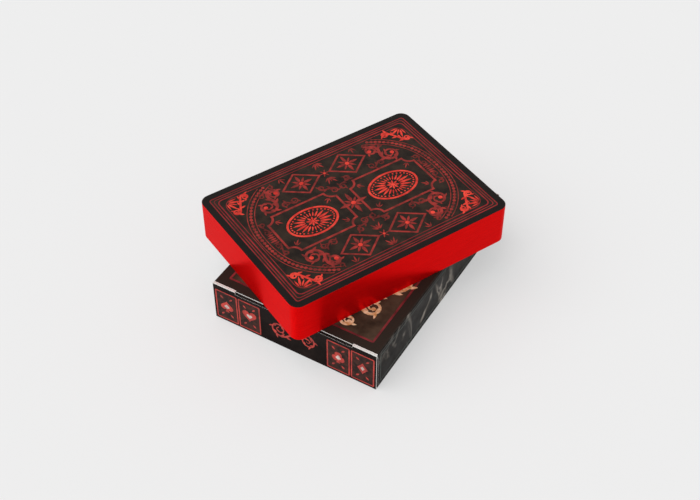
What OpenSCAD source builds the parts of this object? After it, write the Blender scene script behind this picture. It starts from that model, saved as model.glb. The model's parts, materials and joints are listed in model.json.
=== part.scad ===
// A deck of playing cards that lies askew on its folded tuck case.
// Millimetres, +Z up. The origin is the middle of the case's underside.
// The case lies on its back along Y, and its lid closes the -Y end.
// Each crease of the case is a round bead on the panel that swings, seated in a hollow of the panel that stays.

/* [Cards] */
// Width of one card
card_w = 63; // [56:0.5:70]
// Length of one card
card_l = 88; // [80:0.5:120]
// Thickness of one card
card_t = 0.28; // [0.26:0.01:0.36]
// Air left between one card and the next
card_air = 0.01; // [0.005:0.005:0.03]
// Corner radius of a card
card_corner = 3.5; // [2:0.25:6]

/* [Deck on the case] */
// Angle of the deck on the case
deck_turn = -25.3; // [-90:0.1:90]
// Place of the deck's middle across the case
deck_x = -2.8; // [-12:0.1:12]
// Place of the deck's middle along the case
deck_y = -0.6; // [-20:0.1:20]
// Air left between the case and the lowest card
deck_seat = 0.01; // [0.005:0.005:0.1]

/* [Case] */
// Thickness of the board that the case is folded from
board_t = 0.4; // [0.3:0.05:0.6]
// Room beside the cards, both sides together
side_room = 0.8; // [0.4:0.1:3]
// Room at the ends of the cards, both ends together
end_room = 0.6; // [0.4:0.1:3]
// Room above the deck, under the tab
deck_room = 0.2; // [0.1:0.1:2]
// Radius inside a fold of the sleeve
fold_r = 0.15; // [0.05:0.05:0.5]
// Length left bare at each end of the glue flap
glue_inset = 4; // [2:0.5:12]
// Length of each glued flap at the closed end
end_flap_l = 16; // [8:0.5:28]
// Clearance round the flaps inside the closed end
end_flap_gap = 0.1; // [0.05:0.05:0.3]

/* [Lid and flaps] */
// Clearance between the lid and the mouth of the sleeve
lid_gap = 0.15; // [0.1:0.05:0.4]
// How far the lid stands back from each side of the case
lid_inset = 0.1; // [0.05:0.05:0.3]
// Length of the shoulder at each end of the lid, beside the tab
shoulder_l = 9.2; // [4:0.2:16]
// Clearance at each end of the tab
tab_side_gap = 0.2; // [0.1:0.05:0.5]
// Depth of the tab that tucks under the front panel
tab_depth = 13; // [8:0.5:15]
// Corner radius of the tab
tab_corner = 5; // [1:0.5:8]
// Clearance between the tab and the front panel
tab_gap = 0.2; // [0.1:0.05:0.5]
// Clearance above and below a dust flap
dust_gap = 0.3; // [0.15:0.05:1]
// Drop from the top of a dust flap to its tip
dust_drop = 2.5; // [1:0.1:4]
// Height of a dust flap's tip
dust_tip = 0.9; // [0.5:0.1:2]
// Running gap between a crease bead and its hollow
crease_gap = 0.05; // [0.02:0.01:0.1]

/* [Hidden] */
$fn = 64;
cut = 1; // overrun of a cutting tool past the face that it cuts

// The pack in its new order, from the lowest card up
SUITS = ["spades", "diamonds", "clubs", "hearts"];
RANKS = ["ace", "two", "three", "four", "five", "six", "seven", "eight", "nine", "ten", "jack", "queen", "king"];
CARDS = concat(
    [for (suit = SUITS) for (rank = RANKS) str(rank, "_of_", suit)],
    ["black_joker", "red_joker"]
);
CASE = ["sleeve", "end_flaps", "lid", "tuck_tab", "left_dust_flap", "right_dust_flap"];

card_step = card_t + card_air;
deck_h = len(CARDS) * card_step;

// Case, worked out from the deck that it holds
inner_w = card_w + side_room + board_t; // the glue flap takes one board
inner_h = deck_h + deck_room + board_t + tab_gap; // the tab takes one board
case_w = inner_w + 2 * board_t;
case_h = inner_h + 2 * board_t;
mouth_stack = board_t + lid_gap + board_t; // lid, gap and dust flap
end_stack = 3 * board_t; // outer flap, inner flap and side flap
case_l = mouth_stack + end_room + card_l + end_stack;
deck_z = case_h + deck_seat;

front_y = -case_l / 2; // outer face of the lid
end_y = case_l / 2; // outer face of the closed end
mouth_y = front_y + board_t + lid_gap; // raw edge of the sleeve
sleeve_l = end_y - board_t - mouth_y;

// Creases: each axis runs along the inner corner of its fold
bead_r = board_t;
hollow_r = bead_r + crease_gap;
lid_axis_y = front_y + board_t;
lid_axis_z = board_t;
lid_w = case_w - 2 * lid_inset;
tab_w = case_w - 2 * shoulder_l - 2 * tab_side_gap;
tab_axis_z = case_h - board_t - tab_gap - board_t;
dust_axis_x = case_w / 2 - board_t;
dust_axis_y = mouth_y + board_t;
dust_low = lid_axis_z + bead_r + dust_gap;
dust_high = tab_axis_z - bead_r - dust_gap;
// The lower edge of a dust flap rises at 45 degrees, so that the lid can push the flap shut
dust_l = dust_high - dust_low - dust_drop - dust_tip;

// Sheet with round corners, centred
module round_sheet(w, l, r) {
    square([w - 2 * r, l], center = true);
    square([w, l - 2 * r], center = true);
    for (x = [-1, 1], y = [-1, 1])
        translate([x * (w / 2 - r), y * (l / 2 - r)]) circle(r);
}

// Bar of an outline drawn in X and Z, from y_low up to y_high
module along_y(y_low, y_high) {
    translate([0, y_high, 0]) rotate([90, 0, 0]) linear_extrude(y_high - y_low) children();
}

// Bar of an outline drawn in Y and Z, of width w, centred across the case
module along_x(w) {
    translate([-w / 2, 0, 0]) rotate([90, 0, 90]) linear_extrude(w) children();
}

// Round rod across the case, centred
module rod_x(r, w) {
    rotate([0, 90, 0]) cylinder(r = r, h = w, center = true);
}

// One card, counted from the bottom of the deck
module card(place) {
    color("firebrick")
        translate([deck_x, deck_y, deck_z + place * card_step])
            rotate(deck_turn)
                linear_extrude(card_t) round_sheet(card_w, card_l, card_corner);
}

// Ring of the four walls with the glue flap inside the left one
module sleeve_section() {
    translate([0, case_h / 2]) difference() {
        round_sheet(case_w, case_h, board_t + fold_r);
        round_sheet(inner_w, inner_h, fold_r);
    }
}

module glue_flap() {
    translate([-inner_w / 2, mouth_y + glue_inset, case_h / 2 - inner_h / 2 + fold_r])
        cube([board_t, sleeve_l - 2 * glue_inset, inner_h - 2 * fold_r]);
}

// Room for a dust flap's crease in the front end of a side wall
module dust_crease_room() {
    h = dust_high - dust_low + 2 * crease_gap;
    translate([dust_axis_x, dust_axis_y, dust_low - crease_gap]) {
        cylinder(r = hollow_r, h = h);
        translate([0, -board_t - cut, 0]) cube([board_t + cut, board_t + cut, h]);
    }
}

module sleeve() {
    color("black") {
        difference() {
            along_y(mouth_y, mouth_y + sleeve_l) sleeve_section();
            translate([0, lid_axis_y, lid_axis_z]) rod_x(hollow_r, case_w + 2 * cut);
            for (side = [0, 1]) mirror([side, 0, 0]) dust_crease_room();
        }
        glue_flap();
    }
}

// The closed end: an outer flap, an inner flap, and a flap from each side wall, glued together
module end_flaps() {
    flap_w = inner_w - 2 * end_flap_gap;
    flap_h = inner_h - 2 * end_flap_gap;
    flap_z = board_t + end_flap_gap;
    color("dimgray") {
        along_x(case_w) translate([end_y - board_t, 0]) {
            translate([0, board_t]) square([board_t, case_h - board_t]);
            intersection() {
                translate([0, board_t]) circle(board_t);
                square(board_t);
            }
        }
        translate([-flap_w / 2, end_y - 2 * board_t, flap_z]) cube([flap_w, board_t, flap_h]);
        for (side = [0, 1]) mirror([side, 0, 0])
            translate([flap_w / 2 - end_flap_l, end_y - 3 * board_t, flap_z]) cube([end_flap_l, board_t, flap_h]);
    }
}

module lid() {
    color("black") difference() {
        union() {
            translate([-lid_w / 2, front_y, lid_axis_z]) cube([lid_w, board_t, case_h - lid_axis_z]);
            translate([0, lid_axis_y, lid_axis_z]) rod_x(bead_r, lid_w);
        }
        translate([0, lid_axis_y, tab_axis_z]) rod_x(hollow_r, tab_w + 2 * tab_side_gap);
        translate([-tab_w / 2 - tab_side_gap, front_y - cut, tab_axis_z])
            cube([tab_w + 2 * tab_side_gap, board_t + 2 * cut, case_h - tab_axis_z + cut]);
    }
}

module tuck_tab() {
    color("gray") translate([0, lid_axis_y, tab_axis_z]) {
        linear_extrude(board_t) {
            translate([-tab_w / 2, 0]) square([tab_w, tab_depth - tab_corner]);
            translate([-tab_w / 2 + tab_corner, 0]) square([tab_w - 2 * tab_corner, tab_depth]);
            for (x = [-1, 1]) translate([x * (tab_w / 2 - tab_corner), tab_depth - tab_corner]) circle(tab_corner);
        }
        rod_x(bead_r, tab_w);
    }
}

// Right dust flap, folded in across the mouth
module dust_flap() {
    color("gainsboro") translate([dust_axis_x, dust_axis_y, 0]) {
        translate([0, 0, dust_low]) cylinder(r = bead_r, h = dust_high - dust_low);
        along_y(-board_t, 0) polygon([
            [0, dust_low],
            [-dust_l, dust_low + dust_l],
            [-dust_l, dust_low + dust_l + dust_tip],
            [-dust_l + dust_drop, dust_high],
            [0, dust_high]
        ]);
    }
}

module right_dust_flap() {
    dust_flap();
}

module left_dust_flap() {
    mirror([1, 0, 0]) dust_flap();
}

sleeve();
end_flaps();
lid();
tuck_tab();
left_dust_flap();
right_dust_flap();
for (place = [0:len(CARDS) - 1])
    card(place);
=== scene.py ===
import json
import math

import bmesh
import bpy
import numpy as np
from mathutils import Matrix, Vector


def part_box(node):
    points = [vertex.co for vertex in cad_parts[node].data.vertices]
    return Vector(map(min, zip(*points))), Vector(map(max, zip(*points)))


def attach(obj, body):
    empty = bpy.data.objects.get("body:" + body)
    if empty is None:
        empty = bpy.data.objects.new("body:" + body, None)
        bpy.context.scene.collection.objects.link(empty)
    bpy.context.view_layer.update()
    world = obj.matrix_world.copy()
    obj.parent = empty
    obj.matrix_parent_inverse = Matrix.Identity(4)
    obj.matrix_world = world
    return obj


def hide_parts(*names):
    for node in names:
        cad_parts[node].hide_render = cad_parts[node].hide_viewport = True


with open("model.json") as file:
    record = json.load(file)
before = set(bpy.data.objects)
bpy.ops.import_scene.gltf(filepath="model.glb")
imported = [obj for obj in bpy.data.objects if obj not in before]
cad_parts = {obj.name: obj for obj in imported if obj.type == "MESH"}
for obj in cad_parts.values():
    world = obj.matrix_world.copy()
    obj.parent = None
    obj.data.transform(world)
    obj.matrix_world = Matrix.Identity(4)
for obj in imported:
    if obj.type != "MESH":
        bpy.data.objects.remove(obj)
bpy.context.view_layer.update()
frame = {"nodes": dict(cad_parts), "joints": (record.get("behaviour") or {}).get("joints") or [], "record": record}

mm = 0.001  # prints are drawn in millimetres and placed in metres
seam = 1e-4  # corners of a print that lie nearer than this are one
crisp = math.radians(35)  # edges sharper than this stay hard
record = frame["record"]
slotOf = {part["node"]: part["material_slot"] for part in record["subparts"]}
bodyOf = {node: body for body, group in record["behaviour"]["bodies"].items() for node in group}
cardNodes = [node for node in slotOf if slotOf[node] == "card_stock"]  # lowest card first
dealAxis = Vector(next(j["axis"] for j in frame["joints"] if j["name"] == "top_card_deal"))
deckTurn = math.atan2(dealAxis.y, dealAxis.x)  # the deal runs across the card


def sizeOf(node, turn=0.0):
    unturn = Matrix.Rotation(-turn, 3, "Z")
    spots = np.array([unturn @ v.co for v in frame["nodes"][node].data.vertices])
    return (spots.max(0) - spots.min(0)) / mm


cardW, cardL, cardT = sizeOf(cardNodes[0], deckTurn)
print("frame read:", len(cardNodes), "cards of", np.round((cardW, cardL, cardT), 2), "mm")


# Node helpers, for shaders and geometry alike
def addNode(tree, kind, inputs=None, **settings):
    node = tree.nodes.new(kind)
    for key, value in settings.items():
        setattr(node, key, value)
    for key, value in (inputs or {}).items():
        for source in value if isinstance(value, list) else [value]:
            if isinstance(source, bpy.types.Node):
                source = source.outputs[0]
            if isinstance(source, bpy.types.NodeSocket):
                tree.links.new(source, node.inputs[key])
            else:
                node.inputs[key].default_value = source
    return node


def calc(tree, operation, *values):
    return addNode(tree, "ShaderNodeMath", dict(enumerate(values)), operation=operation)


# Shader helpers
def ink(red, green, blue):
    shares = [value / 255 for value in (red, green, blue)]
    return *[s / 12.92 if s < 0.04 else ((s + 0.055) / 1.055) ** 2.4 for s in shares], 1.0


def newFinish(name, **sockets):
    material = bpy.data.materials.new(name)
    material.use_nodes = True
    tree = material.node_tree
    shader = tree.nodes["Principled BSDF"]
    for label, value in sockets.items():
        shader.inputs[label.replace("_", " ")].default_value = value
    material.diffuse_color = shader.inputs["Base Color"].default_value
    return material, tree, shader


def grainOf(tree, size, stretch=(1, 1, 1), detail=4.0, rough=0.55):
    spot = addNode(tree, "ShaderNodeTexCoord").outputs["Object"]
    spot = addNode(tree, "ShaderNodeMapping", {"Vector": spot, "Scale": stretch})
    look = {"Vector": spot, "Scale": 1 / (size * mm), "Detail": detail, "Roughness": rough}
    return addNode(tree, "ShaderNodeTexNoise", look)


def blendOf(tree, share, first, second, low=0.35, high=0.65):
    ramp = addNode(tree, "ShaderNodeValToRGB", {"Fac": share})
    for stop, place, colour in zip(ramp.color_ramp.elements, (low, high), (first, second)):
        stop.position, stop.color = place, colour
    return ramp


def mixOf(tree, share, first, second):
    return addNode(tree, "ShaderNodeMix", {0: share, 6: first, 7: second}, data_type="RGBA").outputs[2]


def plug(tree, source, shader, label):
    if isinstance(source, bpy.types.Node):
        source = source.outputs[0]
    tree.links.new(source, shader.inputs[label])


def bumpOf(tree, height, depth):
    return addNode(tree, "ShaderNodeBump", {"Height": height, "Distance": depth * mm, "Strength": 1.0})


# A printed ink: two shades that run into each other, over the grain of the sheet
def printedInk(name, dark, light, size=3.0, tooth=0.006, grain=0.5, roughness=0.45, shine=0.2, metal=0.0):
    material, tree, shader = newFinish(
        name, Roughness=roughness, Metallic=metal, Specular_IOR_Level=shine, Base_Color=ink(*light))
    plug(tree, blendOf(tree, grainOf(tree, size), ink(*dark), ink(*light)), shader, "Base Color")
    plug(tree, bumpOf(tree, grainOf(tree, grain, detail=2.0), tooth), shader, "Normal")
    return material


# Geometry trees
def newTree(name, **sockets):
    tree = bpy.data.node_groups.new(name, "GeometryNodeTree")
    for label, kind in {"Geometry": "Geometry", **sockets}.items():
        tree.interface.new_socket(label.replace("_", " "), in_out="INPUT", socket_type="NodeSocket" + kind)
    tree.interface.new_socket("Geometry", in_out="OUTPUT", socket_type="NodeSocketGeometry")
    return tree, tree.nodes.new("NodeGroupInput").outputs


def endTree(tree, shape):
    tree.links.new(shape.outputs[0], tree.nodes.new("NodeGroupOutput").inputs[0])
    return tree


def runTree(tree, values, helpers=()):
    holder = bpy.data.objects.new(tree.name, bpy.data.meshes.new(tree.name))
    bpy.context.scene.collection.objects.link(holder)
    modifier = holder.modifiers.new(tree.name, "NODES")
    modifier.node_group = tree
    for item in tree.interface.items_tree:
        if item.in_out == "INPUT" and item.name in values:
            modifier[item.identifier] = values[item.name]
    bpy.context.view_layer.update()
    graph = bpy.context.evaluated_depsgraph_get()
    mesh = bpy.data.meshes.new_from_object(holder.evaluated_get(graph))
    holder.modifiers.remove(modifier)
    for thing in (holder, *helpers):
        bpy.data.objects.remove(thing)
    return mesh


# Flat faces become closed relief: walls and a top over a base that is sunk in the sheet
def makeRaiseTree():
    tree, given = newTree("raiseRelief", Base="Float", Height="Float")
    drop = addNode(tree, "ShaderNodeCombineXYZ", {"Z": given["Base"]})
    sealed = addNode(tree, "GeometryNodeMergeByDistance", {"Geometry": given["Geometry"], "Distance": seam})
    low = addNode(tree, "GeometryNodeSetPosition", {"Geometry": sealed, "Offset": drop})
    upward = addNode(tree, "ShaderNodeCombineXYZ", {"Z": 1.0})
    wall = {"Mesh": low, "Offset": upward, "Offset Scale": given["Height"], "Individual": False}
    raised = addNode(tree, "GeometryNodeExtrudeMesh", wall)
    under = addNode(tree, "GeometryNodeFlipFaces", {"Mesh": low})
    whole = addNode(tree, "GeometryNodeJoinGeometry", {"Geometry": [raised, under]})
    closed = addNode(tree, "GeometryNodeMergeByDistance", {"Geometry": whole, "Distance": seam})
    return endTree(tree, closed)


raiseTree = makeRaiseTree()


def finishRelief(tree, given, flat):
    whole = addNode(tree, "GeometryNodeRealizeInstances", {"Geometry": flat})
    group = addNode(tree, "GeometryNodeGroup", node_tree=raiseTree)
    tree.links.new(whole.outputs[0], group.inputs["Geometry"])
    for label in ("Base", "Height"):
        tree.links.new(given[label], group.inputs[label])
    real = addNode(tree, "GeometryNodeRealizeInstances", {"Geometry": group})
    inked = addNode(tree, "GeometryNodeSetMaterial", {"Geometry": real, "Material": given["Ink"]})
    return endTree(tree, inked)


def flatStrip(tree, curve, width):
    level = addNode(tree, "GeometryNodeSetCurveNormal", {"Curve": curve}, mode="Z_UP")
    ends = {"Start": (-0.5, 0, 0), "End": (0.5, 0, 0)}
    across = addNode(tree, "GeometryNodeCurvePrimitiveLine", ends)
    sweep = {"Curve": level, "Profile Curve": across, "Scale": width}
    return addNode(tree, "GeometryNodeCurveToMesh", sweep)


def makeKeylineTree(cornerSteps=6):
    tree, given = newTree("keyline", Width="Float", Length="Float", Corner="Float", Line="Float",
                          Centre="Vector", Base="Float", Height="Float", Ink="Material")
    square = addNode(tree, "GeometryNodeCurvePrimitiveQuadrilateral",
                     {"Width": given["Width"], "Height": given["Length"]})
    rounded = addNode(tree, "GeometryNodeFilletCurve",
                      {"Curve": square, "Radius": given["Corner"], "Count": cornerSteps}, mode="POLY")
    placed = addNode(tree, "GeometryNodeTransform", {"Geometry": rounded, "Translation": given["Centre"]})
    return finishRelief(tree, given, flatStrip(tree, placed, given["Line"]))


# Stems with leaves, and motifs or ranks set on spots
def makePrintTree():
    tree, given = newTree("reliefPrint", Stems="Object", Four_Ways="Bool", Leaf="Object", Leaf_Gap="Float",
                          Leaf_Scale="Float", Leaf_Splay="Float", Motif="Object", Spots="Object",
                          Rank="String", Base="Float", Height="Float", Ink="Material")

    def shapeOf(label):
        return addNode(tree, "GeometryNodeObjectInfo", {"Object": given[label]}).outputs["Geometry"]

    # Neighbours never lie at one height, so that overlapping shapes don't share a plane
    def stepped(spots, count, first=0):
        place = calc(tree, "MODULO", addNode(tree, "GeometryNodeInputIndex"), float(count))
        place = calc(tree, "ADD", place, first)
        drop = calc(tree, "MULTIPLY", place, -relief["step"] * relief["depth"])
        below = addNode(tree, "ShaderNodeCombineXYZ", {"Z": drop})
        return addNode(tree, "GeometryNodeSetPosition", {"Geometry": spots, "Offset": below})

    def mirrored(shape, scale):
        other = addNode(tree, "GeometryNodeTransform", {"Geometry": shape, "Scale": scale})
        return addNode(tree, "GeometryNodeJoinGeometry", {"Geometry": [shape, other]})

    stems = shapeOf("Stems")
    folded = mirrored(mirrored(stems, (-1, 1, 1)), (1, -1, 1))
    choice = {"Switch": given["Four Ways"], "False": stems, "True": folded}
    stems = addNode(tree, "GeometryNodeSwitch", choice)
    width = addNode(tree, "GeometryNodeInputRadius")
    strips = flatStrip(tree, stems, width)

    points = addNode(tree, "GeometryNodeCurveToPoints",
                     {"Curve": stems, "Length": given["Leaf Gap"]}, mode="LENGTH")
    index = addNode(tree, "GeometryNodeInputIndex")
    side = calc(tree, "MULTIPLY_ADD", calc(tree, "MODULO", index, 2.0), 2.0, -1.0)
    along = addNode(tree, "FunctionNodeAlignRotationToVector", {"Vector": points.outputs["Tangent"]},
                    axis="X", pivot_axis="Z")
    splay = addNode(tree, "FunctionNodeAxisAngleToRotation",
                    {"Axis": (0, 0, 1), "Angle": calc(tree, "MULTIPLY", side, given["Leaf Splay"])})
    turned = addNode(tree, "FunctionNodeRotateRotation", {"Rotation": along, "Rotate By": splay})
    leafSpots = stepped(points, relief["leafSteps"], first=1)  # leaves lie under their stem
    leaves = addNode(tree, "GeometryNodeInstanceOnPoints",
                     {"Points": leafSpots, "Instance": shapeOf("Leaf"), "Rotation": turned,
                      "Scale": calc(tree, "MULTIPLY", width, given["Leaf Scale"])})

    letters = addNode(tree, "GeometryNodeStringToCurves",
                      {"String": given["Rank"], "Size": 1.0, "Character Spacing": 0.85},
                      align_x="CENTER", align_y="MIDDLE")
    letters = addNode(tree, "GeometryNodeRealizeInstances", {"Geometry": letters})
    letters = addNode(tree, "GeometryNodeFillCurve", {"Curve": letters}, mode="NGONS")
    motif = addNode(tree, "GeometryNodeJoinGeometry", {"Geometry": [shapeOf("Motif"), letters.outputs[0]]})
    turn, size = [addNode(tree, "GeometryNodeInputNamedAttribute", {"Name": name}, data_type="FLOAT")
                  for name in ("turn", "size")]
    spots = stepped(shapeOf("Spots"), relief["motifSteps"])
    motifs = addNode(tree, "GeometryNodeInstanceOnPoints",
                     {"Points": spots, "Instance": motif, "Scale": size,
                      "Rotation": addNode(tree, "ShaderNodeCombineXYZ", {"Z": turn})})
    flat = addNode(tree, "GeometryNodeJoinGeometry", {"Geometry": [strips, leaves, motifs]})
    return finishRelief(tree, given, flat)


# How far a print stands up from its ground and is sunk in it.
# A step is the share of that depth between one height and the next.
relief = {"depth": 0.04, "sink": 0.01, "step": 0.006, "leafSteps": 9, "motifSteps": 9}
# Height of each kind of print, as a share of that depth
heights = {
    "keylines": 0.3, "ovalOuter": 0.34, "beads": 0.44, "ovalInner": 0.46, "lozenges": 0.48,
    "cartouches": 0.5, "vines": 0.6, "scrolls": 0.69, "sprigs": 0.78, "flowers": 0.83, "sides": 0.83,
    "star": 0.88, "fans": 0.9, "eyes": 0.93, "buds": 0.99,
    "rim": 0.7, "rimBeads": 0.76, "rays": 0.84, "rosetteEye": 0.88, "rosettePetals": 0.96, "rosetteBud": 1.0,
    "faceFrame": 0.8, "facePips": 1.0,
    "lidField": 0.4, "caseKeyline": 0.7, "lidPetals": 0.7, "lidFrame": 0.8, "lidScroll": 0.8, "lidPips": 0.9,
    "lidPalePips": 1.0, "panelRosette": 0.8, "endRosette": 0.9, "caseEyes": 0.9, "caseScrolls": 1.0,
}
keylineTree = makeKeylineTree()
printTree = makePrintTree()


def layer(kind, paint):
    height = relief["sink"] + heights[kind] * relief["depth"]
    return {"Base": -relief["sink"], "Height": height, "Ink": paint}


def printKeyline(kind, paint, width, length, corner, line, centre=(0.0, 0.0)):
    sizes = {"Width": float(width), "Length": float(length), "Corner": float(corner), "Line": float(line)}
    return runTree(keylineTree, {**layer(kind, paint), **sizes, "Centre": (*centre, 0.0)})


def flatShape(outline):
    mesh = bpy.data.meshes.new("shape")
    mesh.from_pydata([(x, y, 0) for x, y in outline], [], [range(len(outline))])
    return linked(bpy.data.objects.new("shape", mesh))


def linked(thing):
    bpy.context.scene.collection.objects.link(thing)
    return thing


def spotCloud(spots):  # each spot is x, y, turn, size
    mesh = bpy.data.meshes.new("spots")
    mesh.from_pydata([(x, y, 0) for x, y, turn, size in spots], [], [])
    for name, values in (("turn", [s[2] for s in spots]), ("size", [s[3] for s in spots])):
        mesh.attributes.new(name, "FLOAT", "POINT").data.foreach_set("value", values)
    return linked(bpy.data.objects.new("spots", mesh))


def printMotif(kind, paint, outline, spots, rank=""):
    cloud = spotCloud(spots)
    motif = flatShape(outline) if outline else None
    values = {"Spots": cloud, "Motif": motif, "Rank": rank, **layer(kind, paint)}
    return runTree(printTree, values, [thing for thing in (cloud, motif) if thing])


def printStems(kind, paint, stems, fourWays=False,
               leaf=None, gap=2.2, scale=3.0, splay=0.75, closed=False):
    curve = bpy.data.curves.new("stems", "CURVE")
    curve.dimensions = "3D"
    for spots, widths in stems:
        spline = curve.splines.new("POLY")
        spline.use_cyclic_u = closed
        spline.points.add(len(spots) - 1)
        for point, (x, y), width in zip(spline.points, spots, widths):
            point.co, point.radius = (x, y, 0, 1), width
    helpers = [linked(bpy.data.objects.new("stems", curve))]
    values = {"Stems": helpers[0], "Four Ways": fourWays, **layer(kind, paint)}
    if leaf:
        helpers.append(flatShape(leaf))
        values["Leaf"] = helpers[1]
    leaves = {"Leaf Gap": gap, "Leaf Scale": scale, "Leaf Splay": splay}
    return runTree(printTree, {**values, **leaves}, helpers)


# Outlines, one unit high or long, counter-clockwise
def discOutline(steps=12):
    return [(math.cos(2 * math.pi * i / steps), math.sin(2 * math.pi * i / steps)) for i in range(steps)]


def petalOutline(share, steps=3):
    rise = [(i / steps, share * math.sin(math.pi * (i / steps) ** 0.8)) for i in range(1, steps)]
    return [(0, 0)] + [(x, -y) for x, y in rise] + [(1, 0)] + rise[::-1]


def heartOutline(steps=28, gap=0.0):
    turns = [gap + (2 * math.pi - 2 * gap) * i / steps for i in range(steps + (gap > 0))]
    return [(16 * math.sin(t) ** 3 / 30,
             (13 * math.cos(t) - 5 * math.cos(2 * t) - 2 * math.cos(3 * t) - math.cos(4 * t) + 2.5) / 30)
            for t in turns]


def spadeOutline():
    lobes = [(x, 0.08 - y) for x, y in heartOutline(28, gap=0.36)]
    return [(0.9 * x, 0.86 * y + 0.02) for x, y in lobes] + [(-0.16, -0.5), (0.16, -0.5)]


def diamondOutline(steps=16):
    turns = [2 * math.pi * i / steps for i in range(steps)]
    bow = 2.15  # above 2 the sides curve in
    return [(0.39 * math.copysign(abs(math.cos(t)) ** bow, math.cos(t)),
             0.5 * math.copysign(abs(math.sin(t)) ** bow, math.sin(t))) for t in turns]


def clubOutline(steps=42):
    first, span = -math.pi / 2 + 0.16, 2 * math.pi - 0.32
    turns = [first + span * i / steps for i in range(steps + 1)]
    reach = [0.2 + 0.28 * abs(math.cos(1.5 * (t - math.pi / 2))) ** 0.55 for t in turns]
    lobes = [(r * math.cos(t), r * math.sin(t) + 0.02) for t, r in zip(turns, reach)]
    return lobes + [(-0.15, -0.5), (0.15, -0.5)]


def starOutline(points=5, inner=0.42):
    reach = [0.5, 0.5 * inner] * points
    turns = [math.pi / 2 + math.pi * i / points for i in range(2 * points)]
    return [(r * math.cos(t), r * math.sin(t)) for r, t in zip(reach, turns)]


crownOutline = [(-0.42, -0.34), (0.42, -0.34), (0.54, 0.3), (0.24, -0.02),
                (0, 0.42), (-0.24, -0.02), (-0.54, 0.3)]
suitOutlines = {"hearts": heartOutline()[::-1], "spades": spadeOutline(),
                "diamonds": diamondOutline(), "clubs": clubOutline()}


# Scrollwork: a stem that rolls up into a volute at each end
def volute(centre, radius, eye, turns, start, sense, steps):
    spots = []
    for i in range(steps + 1):
        share = i / steps
        turn = start + sense * 2 * math.pi * turns * share
        reach = radius + (eye - radius) * share ** 0.85  # the coil closes up toward its eye
        spots.append((centre[0] + reach * math.cos(turn), centre[1] + reach * math.sin(turn)))
    return spots


def scroll(first, second, radii, turns, sense, width, eye=0.9, steps=24, taper=0.32):
    across = Vector(second) - Vector(first)
    leave = math.atan2(across.y, across.x) - sense * math.acos(min(1.0, sum(radii) / across.length))
    start = volute(first, radii[0], eye, turns, leave, -sense, steps)[::-1]
    spots = start + volute(second, radii[1], eye, turns, leave + math.pi, -sense, steps)
    last = len(spots) - 1
    shares = [1 - abs(2 * i / last - 1) for i in range(last + 1)]  # widest in the middle
    return spots, [width * (taper + (1 - taper) * share) for share in shares]


def eyesOf(stems, size):
    return [(*spots[end], 0.0, size) for spots, widths in stems for end in (0, -1)]


def fourFold(spots):
    return [(sx * x, sy * y, math.atan2(sy * math.sin(turn), sx * math.cos(turn)), size)
            for x, y, turn, size in spots for sx in (1, -1) for sy in (1, -1)]


# Petals that spread from a place: heading and spread in degrees, gap to the place, count, lengths in turn
def fan(centre, heading, spread, gap, count, lengths):
    spots = []
    for i in range(count):
        turn = math.radians(heading + spread * ((i + 0.5) / count - 0.5))
        spots.append((centre[0] + gap * math.cos(turn), centre[1] + gap * math.sin(turn), turn,
                      lengths[i % len(lengths)]))
    return spots


# Joining meshes into one piece
def joinMeshes(name, parts, place):
    whole = bmesh.new()
    materials = []
    for mesh, local in parts:
        first = len(whole.faces)
        part = mesh.copy()
        part.transform(local)
        whole.from_mesh(part)
        bpy.data.meshes.remove(part)
        whole.faces.ensure_lookup_table()
        for material in mesh.materials:
            if material not in materials:
                materials.append(material)
        slots = [materials.index(material) for material in mesh.materials]
        for face in whole.faces[first:]:
            face.material_index = slots[face.material_index]
    return makePiece(name, whole, materials, place)


def makePiece(name, shape, materials, place=Matrix()):
    mesh = bpy.data.meshes.new(name)
    shape.to_mesh(mesh)
    shape.free()
    for material in materials:
        mesh.materials.append(material)
    bakeMap(mesh)
    mesh.transform(place)
    mesh.polygons.foreach_set("use_smooth", [True] * len(mesh.polygons))
    mesh.set_sharp_from_angle(angle=crisp)
    return linked(bpy.data.objects.new(name, mesh))


def readAll(items, label, wide=1, kind=np.float32):
    values = np.empty(len(items) * wide, kind)
    items.foreach_get(label, values)
    return values.reshape(-1, wide) if wide > 1 else values


# The map that the finishes are baked through: a cell of its own for each ink and side
def bakeMap(mesh, rim=0.03):
    corners = readAll(mesh.loops, "vertex_index", kind=np.int32)
    spots = readAll(mesh.vertices, "co", 3)[corners]
    main = np.abs(readAll(mesh.polygons, "normal", 3)).argmax(1)
    counts = readAll(mesh.polygons, "loop_total", kind=np.int32)
    slots = readAll(mesh.polygons, "material_index", kind=np.int32)
    cell = np.repeat(slots * 3 + main, counts)
    kinds = np.unique(cell)
    side = math.ceil(math.sqrt(len(kinds)))
    uv = np.zeros((len(corners), 2), np.float32)
    for number, kind in enumerate(kinds):
        here = cell == kind
        flat = np.delete(spots[here], kind % 3, axis=1)
        low, span = flat.min(0), np.maximum(np.ptp(flat, axis=0), 1e-6)
        uv[here] = (np.array(divmod(number, side)) + rim + (1 - 2 * rim) * (flat - low) / span) / side
    mesh.uv_layers.new(name="OFBake").uv.foreach_set("vector", uv.ravel())


def settle(piece, body, slot, *replaced):
    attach(piece, body)
    if replaced:
        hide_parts(*replaced)
    return piece


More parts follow.
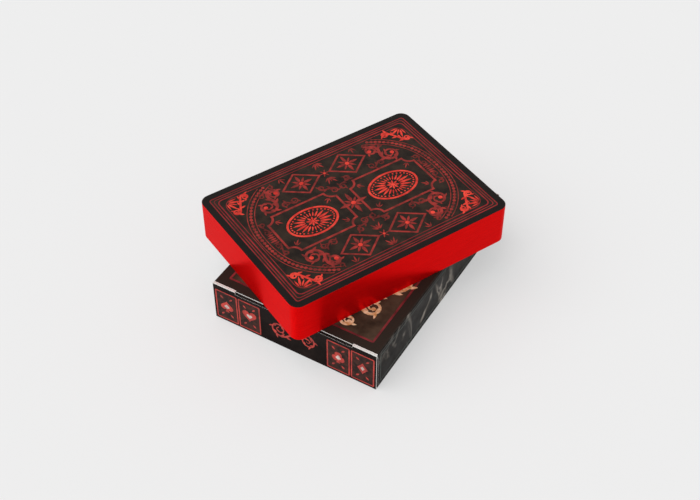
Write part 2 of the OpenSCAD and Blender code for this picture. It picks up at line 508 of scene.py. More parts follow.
# Card finishes
faceSheet = {"shine": 0.3, "roughness": 0.4}
cardInks = {
    "margin": printedInk("card back margin", (15, 10, 8), (23, 17, 14), size=6, shine=0.1),
    "ground": printedInk("card back ground", (25, 18, 13), (49, 37, 28), size=4, shine=0.1),
    "vine": printedInk("card back vines", (84, 26, 22), (128, 40, 35), size=4, shine=0.12),
    "scroll": printedInk("card back scrolls", (104, 31, 27), (166, 49, 43), size=3, shine=0.15),
    "keyline": printedInk("card back keylines", (118, 26, 30), (158, 38, 42), size=5, shine=0.15),
    "bright": printedInk("card back rosettes", (188, 40, 32), (240, 72, 56), size=2.5, shine=0.15),
    "face": printedInk("card face stock", (239, 237, 232), (247, 246, 241), size=9, **faceSheet),
    "red": printedInk("card face red", (176, 18, 22), (196, 28, 30), size=4, **faceSheet),
    "black": printedInk("card face black", (16, 16, 18), (28, 28, 30), size=4, **faceSheet),
}


# Gilded edge: tinted foil over cut fibres, which run along the sheet
gilding = {
    "foil": (224, 8, 10), "dark": (217, 6, 8), "light": (230, 12, 14), "tint": (255, 70, 66),
    "roughness": 0.3, "metal": 0.68, "shine": 0.08, "tooth": 0.002,
    "streak": 2.0, "streakStretch": (0.3, 0.3, 8.0), "fibre": 0.6, "fibreStretch": (1, 1, 3.0),
}


def giltEdge():
    look = gilding
    material, tree, shader = newFinish(
        "card edge gilding", Roughness=look["roughness"], Metallic=look["metal"],
        Specular_IOR_Level=look["shine"], Specular_Tint=ink(*look["tint"]), Base_Color=ink(*look["foil"]))
    streaks = grainOf(tree, look["streak"], stretch=look["streakStretch"], detail=3.0)
    plug(tree, blendOf(tree, streaks, ink(*look["dark"]), ink(*look["light"])), shader, "Base Color")
    fibres = grainOf(tree, look["fibre"], stretch=look["fibreStretch"], detail=2.0)
    plug(tree, bumpOf(tree, fibres, look["tooth"]), shader, "Normal")
    return material


cardInks["gilt"] = giltEdge()


# Card blank, lofted from rounded outlines that run out over the back, down the edge and in over the face
blank = {"corner": 3.5, "arcSteps": 8, "edgeBreak": 0.02, "backMargin": 2.5, "backCorner": 1.2,
         "faceMargin": 1.6, "faceCorner": 2.2}


def roundRing(width, length, radius, z, steps):
    ring = []
    for corner, (sx, sy) in enumerate(((1, 1), (-1, 1), (-1, -1), (1, -1))):
        for i in range(steps + 1):
            turn = math.pi / 2 * (corner + i / steps)
            ring.append((sx * (width / 2 - radius) + radius * math.cos(turn),
                         sy * (length / 2 - radius) + radius * math.sin(turn), z))
    return ring


def loftRings(name, rings, materials):
    count = len(rings[0])
    faces = [range(count)]
    for band in range(len(rings) - 1):
        a, b = band * count, (band + 1) * count
        faces += [(a + i, b + i, b + (i + 1) % count, a + (i + 1) % count) for i in range(count)]
    faces.append(range(len(rings) * count - 1, (len(rings) - 1) * count - 1, -1))
    mesh = bpy.data.meshes.new(name)
    mesh.from_pydata([spot for ring in rings for spot in ring], [], faces)
    for material in dict.fromkeys(materials):
        mesh.materials.append(material)
    slots = [list(mesh.materials).index(material) for material in materials]
    bands = [slots[0]] + [slot for slot in slots[1:-1] for i in range(count)] + [slots[-1]]
    mesh.polygons.foreach_set("material_index", bands)
    return mesh


def makeBlank():
    def ring(inset, corner, z):
        return roundRing(cardW - 2 * inset, cardL - 2 * inset, corner, z, blank["arcSteps"])

    cut, radius = blank["edgeBreak"], blank["corner"]
    back, face = blank["backMargin"], blank["faceMargin"]
    rings = [
        ring(back, blank["backCorner"], cardT - relief["depth"]), ring(back, blank["backCorner"], cardT),
        ring(cut, radius - cut, cardT), ring(0, radius, cardT - cut),
        ring(0, radius, cut), ring(cut, radius - cut, 0),
        ring(face, blank["faceCorner"], 0), ring(face, blank["faceCorner"], relief["depth"]),
    ]
    names = "ground ground margin gilt gilt gilt face face face".split()
    return loftRings("card blank", rings, [cardInks[name] for name in names])


# Back of the cards: keylines, a beaded oval, and in each half a cartouche with a rosette,
# with lozenges and scrolls beside it
cardBack = {
    # Keylines: inset, width, corner
    "keylines": [(0.3, 0.38, 0.9), (1.3, 0.3, 1.1), (2.3, 0.46, 1.8), (3.6, 0.26, 4.0)],
    "oval": (29.4, 37.3), "ovalBow": 2.4, "ovalBand": 2.5, "ovalReach": 24.6, "ovalLine": 0.3,
    "beadGap": 1.55, "bead": 0.62, "beadSides": 8,
    "lozenge": (18.5, 9.7), "lozengeHalf": (5.7, 7.6), "lozengeLine": 0.7,
    "cartouche": (9.7, 3.0, 30.6),  # half width, low and high end
    "cartoucheNotch": 3.2, "cartoucheLine": 0.8,
    # Scrolls: eyes, radii, turns, sense, width
    "scrolls": [((14.6, 25.8), (19.3, 20.8), (3.6, 2.6), 1.55, 1, 1.15)],
    "vines": [
        ((12.5, 16.4), (12.2, 20.2), (1.5, 1.3), 1.3, -1, 0.6),
        ((20.2, 24.9), (22.9, 20.0), (0.9, 1.0), 1.2, -1, 0.5),
        ((3.6, 32.8), (7.8, 32.2), (1.1, 1.0), 1.25, 1, 0.5),
        ((9.2, 1.9), (12.4, 5.2), (1.4, 1.2), 1.3, 1, 0.65),
    ],
    "sprigs": [((18.4, 36.0), (23.7, 29.9), (1.35, 1.5), 1.3, 1, 0.8)],
    "coil": {"eye": 0.5, "steps": 18},  # of the vines and sprigs
    "leaves": {"vines": (1.6, 2.9), "scrolls": (2.0, 2.3), "sprigs": (1.5, 2.7)},  # gap, scale
    "leafShare": 0.2, "scrollEye": 0.8, "sprigEye": 0.5, "eyeSides": 10,
    # Petals: place, heading, spread, gap, count, lengths, as far as they are fixed
    "cornerFan": ((24.5, 37.0), 225, 115, 0.9, 5, (3.4, 4.8)),
    "edgeFan": ((24.9, 15.2), 190, 110, 0.2, 3, (2.3, 3.3)),
    "sprays": [((6.9, 5.8), 135, 100, 0.2, 3, (2.0, 3.0)), ((6.9, 27.8), 225, 100, 0.2, 3, (2.0, 3.0))],
    "star": ((0, 0), 22.5, 360, 0.4, 8, (3.0, 5.2)),
    "flower": (22.5, 360, 0.5, 8, (3.0, 4.0)),
    "studX": 18.5, "stud": (0, 360, 0.3, 6, (1.7,)),
    "palmette": (9, 31.4, 5, (2.4, 3.0)),
    "waistX": (24.9, 16.0), "waist": (130, 0.3, 5, (2.5, 3.6)),
    "petalShares": {"fans": 0.09, "flowers": 0.16, "sides": 0.1, "star": 0.15},
    "flowerBud": 0.8, "studBud": 0.5, "starBud": 0.9,
}


# Widths that keep a bent strap even: wider at each bend
def strap(path, width, closed=False):
    widths = []
    for i, spot in enumerate(path):
        turn = 0.0
        if closed or 0 < i < len(path) - 1:
            onward = Vector(path[(i + 1) % len(path)]) - Vector(spot)
            turn = (Vector(spot) - Vector(path[i - 1])).angle(onward)
        widths.append(width / math.cos(turn / 2))
    return path, widths


def ovalArc(half, bow, reach, width, steps=20):
    places = [reach * math.sin(math.pi / 2 * i / steps) for i in range(steps + 1)]
    spots = [(x, half[1] * (1 - (x / half[0]) ** bow) ** (1 / bow)) for x in places]
    return spots, [width] * len(spots)


def makeBackPrint(width, length):
    look, inks = cardBack, cardInks
    red, bright = inks["scroll"], inks["bright"]
    prints = []
    for inset, line, corner in look["keylines"]:
        sides = width - 2 * inset, length - 2 * inset
        prints.append(printKeyline("keylines", inks["keyline"], *sides, corner, line))
    beads = {"leaf": discOutline(look["beadSides"]), "gap": look["beadGap"],
             "scale": look["bead"] / look["ovalLine"]}
    for share, name, leaves in ((0.0, "ovalOuter", {}), (0.5, "beads", beads), (1.0, "ovalInner", {})):
        half = [side - share * look["ovalBand"] for side in look["oval"]]
        arc = ovalArc(half, look["ovalBow"], look["ovalReach"] - share, look["ovalLine"])
        prints.append(printStems(name, red, [arc], True, **leaves))
    middle, half = look["lozenge"], look["lozengeHalf"]
    corners = ((0, -1), (1, 0), (0, 1), (-1, 0))
    lozenge = [(middle[0] + x * half[0], middle[1] + y * half[1]) for x, y in corners]
    lozenge = strap(lozenge, look["lozengeLine"], closed=True)
    prints.append(printStems("lozenges", red, [lozenge], True, closed=True))
    edge = cartoucheEdge(*look["cartouche"], look["cartoucheNotch"])
    prints.append(printStems("cartouches", red, [strap(edge, look["cartoucheLine"])], True))
    scrolls = [scroll(*item) for item in look["scrolls"]]
    vines, sprigs = ([scroll(*item, **look["coil"]) for item in look[name]] for name in ("vines", "sprigs"))
    leaf = petalOutline(look["leafShare"])
    for name, stems, paint in (
            ("vines", vines, inks["vine"]), ("scrolls", scrolls, red), ("sprigs", sprigs, bright)):
        gap, scale = look["leaves"][name]
        prints.append(printStems(name, paint, stems, True, leaf, gap=gap, scale=scale))
    eyes = fourFold(eyesOf(scrolls, look["scrollEye"]) + eyesOf(sprigs, look["sprigEye"]))
    prints.append(printMotif("eyes", bright, discOutline(look["eyeSides"]), eyes))
    studs = (look["studX"], -look["studX"])
    flowers = [spot for turn in (90, 270) for spot in fan((0, 0), turn, *look["palmette"])]
    flowers += [spot for x in studs for spot in fan((x, 0), *look["stud"])]
    flowers += fourFold(fan(middle, *look["flower"]))
    sides = fourFold(fan(*look["edgeFan"]))
    for turn in (0, 180):
        for x in look["waistX"]:
            place = x * math.cos(math.radians(turn))
            sides += fan((place, 0), turn + 180, *look["waist"])
    for spray in look["sprays"]:
        sides += fourFold(fan(*spray))
    for name, spots, paint in (
            ("fans", fourFold(fan(*look["cornerFan"])), bright), ("flowers", flowers, red),
            ("sides", sides, red), ("star", fan(*look["star"]), red)):
        petal = petalOutline(look["petalShares"][name])
        prints.append(printMotif(name, paint, petal, spots))
    buds = fourFold([(*middle, 0.0, look["flowerBud"])]) + [(x, 0, 0.0, look["studBud"]) for x in studs]
    buds.append((0, 0, 0.0, look["starBud"]))
    prints.append(printMotif("buds", bright, discOutline(), buds))
    return prints + makeRosette(rosette["away"]) + makeRosette(-rosette["away"])


# Half of a frame whose corners are scooped out
def cartoucheEdge(half, low, high, notch, steps=6):
    turns = [math.pi / 2 * i / steps for i in range(steps + 1)]
    lower = [(half - notch * math.cos(t), low + notch * math.sin(t)) for t in turns]
    upper = [(half - notch * math.sin(t), high - notch * math.cos(t)) for t in turns]
    return [(0.0, low)] + lower + upper + [(0.0, high)]


# Oval rosette with a beaded rim and rays that reach out to it
rosette = {
    "away": 16.8, "half": (6.3, 9.4), "line": 0.8, "rimSides": 40,
    "beads": 32, "beadInset": 1.2, "bead": 0.34, "beadSides": 6,
    "rays": 22, "rayStart": 2.2, "rayCut": 4.0, "rayShare": 0.095,
    "eye": 2.7, "eyeSides": 20, "bud": 0.7,
    "petals": (0, 360, 0.5, 8, (1.9,)), "petalShare": 0.2,
}


def makeRosette(middle):
    look, bright, ground = rosette, cardInks["bright"], cardInks["ground"]
    (halfW, halfL), inset, start = look["half"], look["beadInset"], look["rayStart"]
    rim = [(halfW * x, halfL * y + middle) for x, y in discOutline(look["rimSides"])]
    beads = [((halfW - inset) * x, (halfL - inset) * y + middle, 0.0, look["bead"])
             for x, y in discOutline(look["beads"])]
    rays = []
    for x, y in discOutline(look["rays"]):
        reach = 1 / math.hypot(x / halfW, y / halfL)
        rays.append((start * x, start * y + middle, math.atan2(y, x), reach - look["rayCut"]))
    petals = fan((0, middle), *look["petals"])
    eye, bud = [(0, middle, 0.0, look["eye"])], [(0, middle, 0.0, look["bud"])]
    return [
        printStems("rim", bright, [(rim, [look["line"]] * len(rim))], closed=True),
        printMotif("rimBeads", bright, discOutline(look["beadSides"]), beads),
        printMotif("rays", bright, petalOutline(look["rayShare"]), rays),
        printMotif("rosetteEye", ground, discOutline(look["eyeSides"]), eye),
        printMotif("rosettePetals", bright, petalOutline(look["petalShare"]), petals),
        printMotif("rosetteBud", bright, discOutline(), bud),
    ]


# Faces of the cards: pips in their usual rows, ranks in two corners
cardFace = {
    "ranks": dict(zip("ace two three four five six seven eight nine ten jack queen king".split(),
                      "A 2 3 4 5 6 7 8 9 10 J Q K".split())),
    "rows": {"two": ((), (1, -1)), "three": ((), (1, 0, -1)), "four": ((1, -1), ()), "five": ((1, -1), (0,)),
             "six": ((1, 0, -1), ()), "seven": ((1, 0, -1), (0.5,)), "eight": ((1, 0, -1), (0.5, -0.5)),
             "nine": ((1, 1 / 3, -1 / 3, -1), (0,)), "ten": ((1, 1 / 3, -1 / 3, -1), (2 / 3, -2 / 3))},
    "columnX": 12.0, "rowY": 28.5, "pip": 12.0, "acePip": 26.0, "courtPip": 13.0, "courtPipAt": (12.0, 24.0),
    "index": (25.6, 35.4), "indexSize": 9.0, "indexPip": (25.6, 27.0), "indexPipSize": 5.6,
    "crowns": {"jack": 12.0, "queen": 16.0, "king": 20.0}, "crownAt": (0.0, 8.5),
    "star": 34.0, "indexStar": 8.0,
    "frame": (42.0, 68.0), "frameLine": 0.4, "frameCorner": 2.0, "courtInsets": (0.0, 1.2),
}


def pipSpots(rank):
    look = cardFace
    if rank == "ace":
        return [(0.0, 0.0, 0.0, look["acePip"])]
    if rank not in look["rows"]:  # a court card has one pip in each half
        return bothCorners(look["courtPipAt"], look["courtPip"])
    sides, middle = look["rows"][rank]
    spots = [(x * look["columnX"], row) for row in sides for x in (-1, 1)] + [(0.0, row) for row in middle]
    return [(x, row * look["rowY"], 0.0 if row >= 0 else math.pi, look["pip"]) for x, row in spots]


def bothCorners(place, size):
    return [(-place[0], place[1], 0.0, size), (place[0], -place[1], math.pi, size)]


def faceFrame(paint, inset=0.0):
    look = cardFace
    sides = [side - 2 * inset for side in look["frame"]]
    return printKeyline("faceFrame", paint, *sides, look["frameCorner"], look["frameLine"])


def makeFacePrint(node):
    look = cardFace
    rank, _, suit = node.partition("_of_")
    if not suit:
        paint = cardInks["red" if "red" in node else "black"]
        stars = [(0.0, 0.0, 0.0, look["star"])] + bothCorners(look["index"], look["indexStar"])
        return [printMotif("facePips", paint, starOutline(), stars), faceFrame(paint)]
    paint = cardInks["red" if suit in ("hearts", "diamonds") else "black"]
    spots = pipSpots(rank) + bothCorners(look["indexPip"], look["indexPipSize"])
    corners = bothCorners(look["index"], look["indexSize"])
    prints = [printMotif("facePips", paint, suitOutlines[suit], spots),
              printMotif("facePips", paint, None, corners, look["ranks"][rank])]
    if rank in look["crowns"]:
        crowns = bothCorners(look["crownAt"], look["crowns"][rank])
        prints.append(printMotif("facePips", paint, crownOutline, crowns))
        prints += [faceFrame(paint, inset) for inset in look["courtInsets"]]
    return prints


def makeCards():
    ground = Matrix.Translation((0, 0, cardT - relief["depth"]))
    turnOver = Matrix.Translation((0, 0, cardT)) @ Matrix.Rotation(math.pi, 4, "Y")
    margin = blank["backMargin"]
    shared = [(makeBlank(), Matrix())]
    shared += [(mesh, ground) for mesh in makeBackPrint(cardW - 2 * margin, cardL - 2 * margin)]
    for node in cardNodes:
        low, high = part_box(node)
        middle = Vector(((low.x + high.x) / 2, (low.y + high.y) / 2, low.z))
        place = Matrix.Translation(middle) @ Matrix.Rotation(deckTurn, 4, "Z") @ Matrix.Scale(mm, 4)
        face = [(mesh, turnOver @ ground) for mesh in makeFacePrint(node)]
        card = joinMeshes(node + "_printed", shared + face, place)
        settle(card, bodyOf[node], "card_stock", node)
    print("cards printed:", len(cardNodes), "with", len(card.data.polygons), "faces on the last")


makeCards()


# Case finishes
caseW, _, caseH = sizeOf("sleeve")
boardLook = {
    "shine": 0.04, "gloss": (0.36, 0.5), "glossGrain": 5.0, "grain": 0.7, "tooth": 0.008,
    "wispSize": 13.0, "wispStretch": (1.0, 1.0, 0.45), "wispTwist": 1.1, "wispWidth": 0.08,
    "patchSize": 22.0, "patchFrom": 0.5, "patchTo": 0.66,  # where wisps gather
    "wearReach": 0.7, "wearGrain": 1.6, "wearFrom": 0.42, "wearGain": 4.0, "wearShare": 0.15,
    "wearInk": (120, 116, 110),
    "bareInk": (226, 224, 220), "bareGrain": 0.8, "bareRagged": 0.3,
    # Cuts: axis, way, place, half of the tab
    "panelCut": ("Y", -1.0, 44.4, 23.2), "lidCut": ("Z", 1.0, 16.9, 23.2),
    "border": {"half": (28.3, 40.7), "ink": (46, 39, 34)},
    "raw": (232, 230, 226), "rawDark": (214, 211, 205), "rawLight": (240, 239, 236),
    "rawShine": 0.2, "rawGloss": (0.7, 0.85), "rawFibre": 0.9, "rawTooth": 0.02,
}


def clamped(tree, value, gain):
    return addNode(tree, "ShaderNodeMath", {0: value, 1: gain}, operation="MULTIPLY", use_clamp=True)


def axesOf(tree):
    spot = addNode(tree, "ShaderNodeTexCoord").outputs["Object"]
    return addNode(tree, "ShaderNodeSeparateXYZ", {"Vector": spot}).outputs


# Scuffs along the folds: where the sheet comes near both a side and a face of the case
def foldWear(tree):
    look, axes = boardLook, axesOf(tree)
    reach = look["wearReach"]
    nearSide = calc(tree, "ABSOLUTE", axes["X"])
    nearSide = calc(tree, "SUBTRACT", nearSide, (caseW / 2 - reach) * mm)
    nearFace = calc(tree, "ABSOLUTE", calc(tree, "SUBTRACT", axes["Z"], caseH / 2 * mm))
    nearFace = calc(tree, "SUBTRACT", nearFace, (caseH / 2 - reach) * mm)
    near = clamped(tree, calc(tree, "MINIMUM", nearSide, nearFace), 1 / (reach * mm))
    grain = grainOf(tree, look["wearGrain"], detail=6.0, rough=0.7)
    rubbed = calc(tree, "SUBTRACT", grain, look["wearFrom"])
    rubbed = calc(tree, "MULTIPLY", near, clamped(tree, rubbed, look["wearGain"]))
    return calc(tree, "MULTIPLY", rubbed, look["wearShare"])


def glossOf(tree, grain, low, high):
    limits = {"From Min": 0.3, "From Max": 0.7, "To Min": low, "To Max": high}
    return addNode(tree, "ShaderNodeMapRange", {"Value": grain, **limits})


# Thin wisps that drift over the board, in patches
def wispsOf(tree):
    look = boardLook
    drift = grainOf(tree, look["wispSize"], stretch=look["wispStretch"], detail=3.0, rough=0.5)
    drift.inputs["Distortion"].default_value = look["wispTwist"]
    band = calc(tree, "ABSOLUTE", calc(tree, "SUBTRACT", drift, 0.5))
    limits = {"From Min": 0.0, "From Max": look["wispWidth"], "To Min": 1.0, "To Max": 0.0}
    veil = addNode(tree, "ShaderNodeMapRange", {"Value": band, **limits})
    veil = calc(tree, "POWER", veil, 2.0)
    patch = blendOf(tree, grainOf(tree, look["patchSize"], detail=1.0), (0, 0, 0, 1), (1, 1, 1, 1),
                    look["patchFrom"], look["patchTo"])
    return calc(tree, "MULTIPLY", veil, patch)


def casePrint(name, dark, light, size, wisps=None, bare=None, border=None):
    look = boardLook
    material, tree, shader = newFinish(name, Specular_IOR_Level=look["shine"], Base_Color=ink(*dark))
    axes = axesOf(tree)
    colour = blendOf(tree, grainOf(tree, size, detail=6.0), ink(*dark), ink(*light)).outputs[0]
    if wisps:
        colour = mixOf(tree, wispsOf(tree), colour, ink(*wisps))
    if border:  # a darker band runs round the panel, outside its keyline
        past = []
        for axis, half in zip("XY", border["half"]):
            past.append(calc(tree, "GREATER_THAN", calc(tree, "ABSOLUTE", axes[axis]), half * mm))
        colour = mixOf(tree, calc(tree, "MAXIMUM", *past), colour, ink(*border["ink"]))
    colour = mixOf(tree, foldWear(tree), colour, ink(*look["wearInk"]))
    if bare:  # white board shows where the shoulders beside the tab are cut
        axis, way, limit, shoulder = bare
        ragged = look["bareRagged"] * mm
        rough = calc(tree, "MULTIPLY_ADD", grainOf(tree, look["bareGrain"]), ragged, -ragged / 2)
        past = calc(tree, "MULTIPLY_ADD", axes[axis], way, rough)
        past = calc(tree, "GREATER_THAN", past, limit * mm)
        aside = calc(tree, "GREATER_THAN", calc(tree, "ABSOLUTE", axes["X"]), shoulder * mm)
        colour = mixOf(tree, calc(tree, "MULTIPLY", past, aside), colour, ink(*look["bareInk"]))
    plug(tree, colour, shader, "Base Color")
    plug(tree, glossOf(tree, grainOf(tree, look["glossGrain"]), *look["gloss"]), shader, "Roughness")
    plug(tree, bumpOf(tree, grainOf(tree, look["grain"], detail=3.0), look["tooth"]), shader, "Normal")
    return material


def rawBoard():
    look = boardLook
    material, tree, shader = newFinish(
        "raw board", Specular_IOR_Level=look["rawShine"], Base_Color=ink(*look["raw"]))
    fibres = grainOf(tree, look["rawFibre"], detail=8.0, rough=0.65)
    plug(tree, blendOf(tree, fibres, ink(*look["rawDark"]), ink(*look["rawLight"])), shader, "Base Color")
    plug(tree, glossOf(tree, fibres, *look["rawGloss"]), shader, "Roughness")
    plug(tree, bumpOf(tree, fibres, look["rawTooth"]), shader, "Normal")
    return material


caseInks = {
    "panel": casePrint("case panel print", (42, 33, 26), (82, 66, 53), 7.0,
                       bare=boardLook["panelCut"], border=boardLook["border"]),
    "side": casePrint("case side print", (18, 14, 11), (32, 26, 21), 9.0, wisps=(156, 148, 138)),
    "lid": casePrint("case lid print", (24, 18, 17), (36, 28, 26), 6.0, bare=boardLook["lidCut"]),
    "board": rawBoard(),
    "red": printedInk("case red foil", (84, 26, 30), (132, 42, 46), size=4, shine=0.2),
    "maroon": printedInk("case lid frame ground", (34, 20, 17), (70, 38, 30), size=1.6, shine=0.1),
    "scarlet": printedInk("case scarlet foil", (150, 40, 34), (206, 62, 50), size=3, shine=0.3),
    "pale": printedInk("case pale print", (176, 150, 142), (222, 206, 198), size=3, shine=0.3),
    "grey": printedInk("case grey keyline", (58, 64, 60), (84, 92, 87), size=6, shine=0.1),
    "gold": printedInk("case gold foil", (206, 150, 86), (255, 236, 196), size=1.6,
                       roughness=0.35, metal=0.15),
}


# Case boards: copies of the CAD shapes, printed outside, with the print's ground let into the surface.
# Printed faces are told by distances in mm, and by how far they look one way: 1 is straight.
facing = {
    "foldRadius": 0.55, "foldSlack": 0.04, "flush": 0.01,
    "lidBead": 0.8, "tabBead": 0.5, "endFold": (0.42, 0.45),
    "flat": 0.999, "straight": 0.9, "half": 0.5, "aslant": 0.3, "little": 0.1, "least": 0.05,
}


def makeBoard(node, isPrinted, skins):
    shape = bmesh.new()
    shape.from_mesh(frame["nodes"][node].data)
    bmesh.ops.remove_doubles(shape, verts=shape.verts, dist=seam * mm)
    bmesh.ops.dissolve_limit(shape, angle_limit=math.radians(0.5), verts=shape.verts, edges=shape.edges)
    shape.normal_update()
    materials = [caseInks["board"], *dict.fromkeys(skins.values())]
    sunk = {}
    for face in shape.faces:
        if not isPrinted(face.calc_center_median() / mm, face.normal):
            face.material_index = 0
            continue
        axis = max(range(3), key=lambda i: abs(face.normal[i]))
        face.material_index = materials.index(skins["xyz"[axis]])
        if abs(face.normal[axis]) > facing["flat"]:
            for vertex in face.verts:
                sunk.setdefault(vertex, {})[(axis, face.normal[axis] > 0)] = face.normal.copy()
    for vertex, normals in sunk.items():
        for normal in normals.values():
            vertex.co -= normal * relief["depth"] * mm
    return settle(makePiece(node + "_board", shape, materials), bodyOf[node], "case_board", node)


def makeCase():
    skins = {"x": caseInks["side"], "y": caseInks["lid"], "z": caseInks["panel"]}
    foldR, half, aslant = facing["foldRadius"], facing["half"], facing["aslant"]
    flush, straight, little = facing["flush"], facing["straight"], facing["little"]
    lidLow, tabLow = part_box("lid")[0] / mm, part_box("tuck_tab")[0] / mm
    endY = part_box("end_flaps")[1].y / mm

    def outsideSleeve(spot, normal):
        x = max(abs(spot.x) - (caseW / 2 - foldR), 0)
        z = max(abs(spot.z - caseH / 2) - (caseH / 2 - foldR), 0)
        return abs(math.hypot(x, z) - foldR) < facing["foldSlack"] and abs(normal.y) < aslant

    def outsideLid(spot, normal):
        onPanel = spot.y < lidLow.y + flush and normal.y < -straight
        onBead = spot.z < lidLow.z + facing["lidBead"] and min(normal.y, normal.z) < -little
        return onPanel or (onBead and abs(normal.x) < half)

    def outsideTab(spot, normal):
        onBead = spot.y < tabLow.y + facing["tabBead"] and normal.y < -little
        return normal.z > half or (onBead and abs(normal.x) < half)

    def outsideFlap(spot, normal):
        onBead = normal.x * spot.x > 0 and abs(normal.x) > aslant
        return (normal.y < -aslant or onBead) and abs(normal.z) < aslant

    def outsideEnd(spot, normal):
        deep, high = facing["endFold"]
        onPanel = spot.y > endY - flush and normal.y > straight
        onFold = spot.y > endY - deep and spot.z < high and normal.y > facing["least"]
        return onPanel or (onFold and abs(normal.x) < half)

    tests = {"sleeve": outsideSleeve, "lid": outsideLid, "tuck_tab": outsideTab, "end_flaps": outsideEnd,
             "left_dust_flap": outsideFlap, "right_dust_flap": outsideFlap}
    for node, isPrinted in tests.items():
        board = skins if node == "sleeve" else dict.fromkeys("xyz", caseInks["lid"])
        makeBoard(node, isPrinted, board)
    print("case boards made:", len(tests))


makeCase()


# Prints on the case, each drawn flat and laid on its panel. Scrolls and petals are noted as on the cards.
caseArt = {
    "keylineInset": 4.2, "keylineLine": 0.75, "corner": 0.3, "sideInset": 2.3, "sideLine": 0.35,
    "scrolls": [((20.6, 27.4), (22.4, 12.0), (4.2, 4.6), 1.5, 1, 1.5),
                ((7.4, 35.2), (16.2, 36.4), (3.2, 2.4), 1.3, 1, 1.1)],
    "coil": 0.8, "leafShare": 0.2, "leaves": {"gap": 2.8, "scale": 2.4}, "eye": 0.8,
    "panelRosette": ((0, 0), 0, 360, 1.6, 12, (7.0,)), "panelPetal": 0.13,
    "endRosette": ((0, 0), 0, 360, 0.8, 8, (4.2,)), "endPetal": 0.18,
    "lidCentres": {"spades": -27.2, "hearts": -17.8, "clubs": 17.8, "diamonds": 27.2}, "lidDrop": 0.8,
    "lidFrame": (8.5, 13.2), "lidLine": 0.5, "lidPip": 5.4, "lidPalePip": 0.4,
    "lidPetalAt": (2.5, 4.7), "lidPetal": 1.8, "lidPetalShare": 0.22,
    "lidScroll": ((-5.6, 0.0), (5.6, 0.0), (3.6, 3.6), 1.6, 1, 0.8), "lidCoil": 0.6,
    "lidLeaves": {"gap": 2.0, "scale": 2.8},
}


def layOn(name, prints, body, origin, across, along):
    out = Vector(across).cross(along)
    origin = Vector(origin) - out * relief["depth"] * mm
    place = Matrix((across, along, out)).transposed().to_4x4() @ Matrix.Scale(mm, 4)
    piece = joinMeshes(name, [(mesh, Matrix()) for mesh in prints], Matrix.Translation(origin) @ place)
    return settle(piece, body, "case_board")


def framed(width, length, inset, paint, line):
    sides = width - 2 * inset, length - 2 * inset
    return [printKeyline("caseKeyline", paint, *sides, caseArt["corner"], line)]


def makePanelArt(length):
    look, gold = caseArt, caseInks["gold"]
    scrolls = [scroll(*item, eye=look["coil"]) for item in look["scrolls"]]
    leaf, petal = petalOutline(look["leafShare"]), petalOutline(look["panelPetal"])
    eyes = fourFold(eyesOf(scrolls, look["eye"]))
    return framed(caseW, length, look["keylineInset"], caseInks["red"], look["keylineLine"]) + [
        printStems("caseScrolls", gold, scrolls, True, leaf, **look["leaves"]),
        printMotif("caseEyes", gold, discOutline(), eyes),
        printMotif("panelRosette", gold, petal, fan(*look["panelRosette"])),
    ]


def makeLidArt():
    look = caseArt
    width, height = look["lidFrame"]
    awayX, awayY = look["lidPetalAt"]
    drop, pip, red = -look["lidDrop"], look["lidPip"], caseInks["scarlet"]
    field = [(sx * width / 2, sy * height / 2) for sx, sy in ((-1, -1), (1, -1), (1, 1), (-1, 1))]
    petal = petalOutline(look["lidPetalShare"])
    prints = []
    for suit, x in look["lidCentres"].items():
        petals = [(x + dx * awayX, dy * awayY + drop, math.atan2(-dy, -dx), look["lidPetal"])
                  for dx in (1, -1) for dy in (1, -1)]
        pale = [(x, drop, 0.0, pip * look["lidPalePip"])]
        prints += [
            printMotif("lidField", caseInks["maroon"], field, [(x, drop, 0.0, 1.0)]),
            printKeyline("lidFrame", red, width, height, look["corner"], look["lidLine"], (x, drop)),
            printMotif("lidPetals", red, petal, petals),
            printMotif("lidPips", red, suitOutlines[suit], [(x, drop, 0.0, pip)]),
            printMotif("lidPalePips", caseInks["pale"], suitOutlines[suit], pale),
        ]
    stem, leaf = scroll(*look["lidScroll"], eye=look["lidCoil"]), petalOutline(look["leafShare"])
    prints.append(printStems("lidScroll", red, [stem], False, leaf, **look["lidLeaves"]))
    return prints


def makeCaseArt():
    look = caseArt
    low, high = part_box("sleeve")
    length = (high.y - low.y) / mm
    midY, midZ = (low.y + high.y) / 2, (low.z + high.z) / 2
    x, y, z = (Vector(axis) for axis in ((1, 0, 0), (0, 1, 0), (0, 0, 1)))
    layOn("front_panel_print", makePanelArt(length), "case", (0, midY, high.z), x, y)
    layOn("back_panel_print", makePanelArt(length), "case", (0, midY, low.z), -x, y)
    for name, side, along in (("right_wall_print", 1, y), ("left_wall_print", -1, -y)):
        prints = framed(length, caseH, look["sideInset"], caseInks["grey"], look["sideLine"])
        layOn(name, prints, "case", (side * high.x, midY, midZ), along, z)
    endPrints = framed(caseW, caseH, look["sideInset"], caseInks["red"], look["sideLine"])
    endPrints.append(printMotif("endRosette", caseInks["scarlet"],
                                petalOutline(look["endPetal"]), fan(*look["endRosette"])))
    layOn("end_print", endPrints, "case", (0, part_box("end_flaps")[1].y, midZ), -x, z)
    lidLow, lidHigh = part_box("lid")
    layOn("lid_print", makeLidArt(), "lid", (0, lidLow.y, (lidLow.z + lidHigh.z) / 2), x, z)
    print("case prints laid")


makeCaseArt()


# Studio: pale floor, even sky and one wide soft lamp
studio = {
    "backdrop": (238, 238, 238), "sky": 0.62, "lamp": 1.5, "lampAngle": 70, "lampFrom": (-0.5, -0.55, 1.0),
    "azimuth": 30.72, "elevation": 44.94, "distance": 432.3, "target": (1.46, -10.15, 20.0), "lens": 63.78,
    "sensor": 36, "clip": (0.01, 20),
    "floor": 4.0, "floorDrop": 0.02, "floorRoughness": 0.9, "shadowFill": 0.5,
}


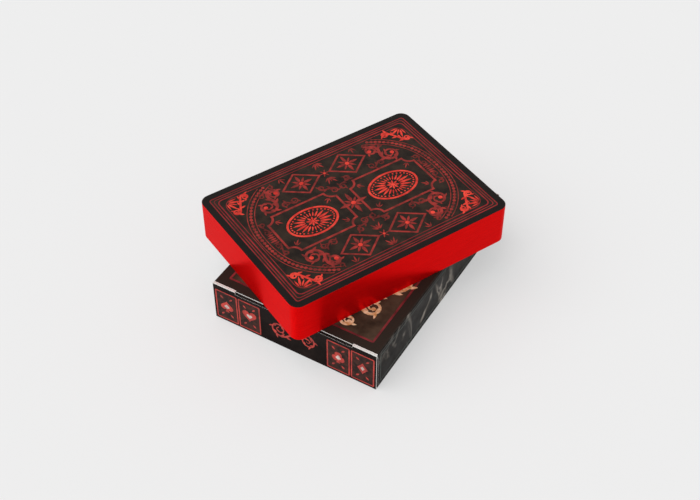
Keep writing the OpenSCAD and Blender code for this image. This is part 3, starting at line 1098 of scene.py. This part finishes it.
def seenRays(tree):
    path = addNode(tree, "ShaderNodeLightPath")
    seen = calc(tree, "MAXIMUM", path.outputs["Is Camera Ray"], path.outputs["Is Glossy Ray"])
    return calc(tree, "MAXIMUM", seen, path.outputs["Is Transmission Ray"])


def makeStudio():
    scene = bpy.context.scene
    scene.view_settings.view_transform = "Standard"
    pale = ink(*studio["backdrop"])
    world = bpy.data.worlds.new("studio sky")
    world.use_nodes = True
    scene.world = world
    tree = world.node_tree
    tree.nodes.clear()
    sky = addNode(tree, "ShaderNodeBackground", {"Color": (1, 1, 1, 1), "Strength": studio["sky"]})
    back = addNode(tree, "ShaderNodeBackground", {"Color": pale, "Strength": 1.0})
    mixed = addNode(tree, "ShaderNodeMixShader", {0: seenRays(tree), 1: sky, 2: back})
    addNode(tree, "ShaderNodeOutputWorld", {"Surface": mixed})

    lamp = bpy.data.lights.new("soft lamp", "SUN")
    lamp.energy, lamp.angle = studio["lamp"], math.radians(studio["lampAngle"])
    lampObject = linked(bpy.data.objects.new("soft lamp", lamp))
    lampObject.rotation_euler = Vector(studio["lampFrom"]).to_track_quat("Z", "Y").to_euler()

    half = studio["floor"] / 2
    mesh = bpy.data.meshes.new("floor")
    corners = [(-half, -half), (half, -half), (half, half), (-half, half)]
    mesh.from_pydata([(x, y, -studio["floorDrop"] * mm) for x, y in corners], [], [(0, 1, 2, 3)])
    material, tree, shader = newFinish(
        "floor paint", Roughness=studio["floorRoughness"], Specular_IOR_Level=0.0, Base_Color=pale)
    plain = addNode(tree, "ShaderNodeEmission", {"Color": pale})
    share = calc(tree, "MULTIPLY", seenRays(tree), studio["shadowFill"])
    mixed = addNode(tree, "ShaderNodeMixShader", {0: share, 1: shader, 2: plain})
    tree.links.new(mixed.outputs[0], tree.nodes["Material Output"].inputs["Surface"])
    mesh.materials.append(material)
    linked(bpy.data.objects.new("floor", mesh))

    azimuth, elevation = (math.radians(studio[key]) for key in ("azimuth", "elevation"))
    back = Vector((math.sin(azimuth) * math.cos(elevation), -math.cos(azimuth) * math.cos(elevation),
                   math.sin(elevation)))
    camera = bpy.data.cameras.new("camera")
    camera.lens, camera.sensor_width = studio["lens"], studio["sensor"]
    camera.clip_start, camera.clip_end = studio["clip"]
    cameraObject = linked(bpy.data.objects.new("camera", camera))
    cameraObject.location = (Vector(studio["target"]) + back * studio["distance"]) * mm
    cameraObject.rotation_euler = (-back).to_track_quat("-Z", "Y").to_euler()
    scene.camera = cameraObject
    print("studio set")


makeStudio()
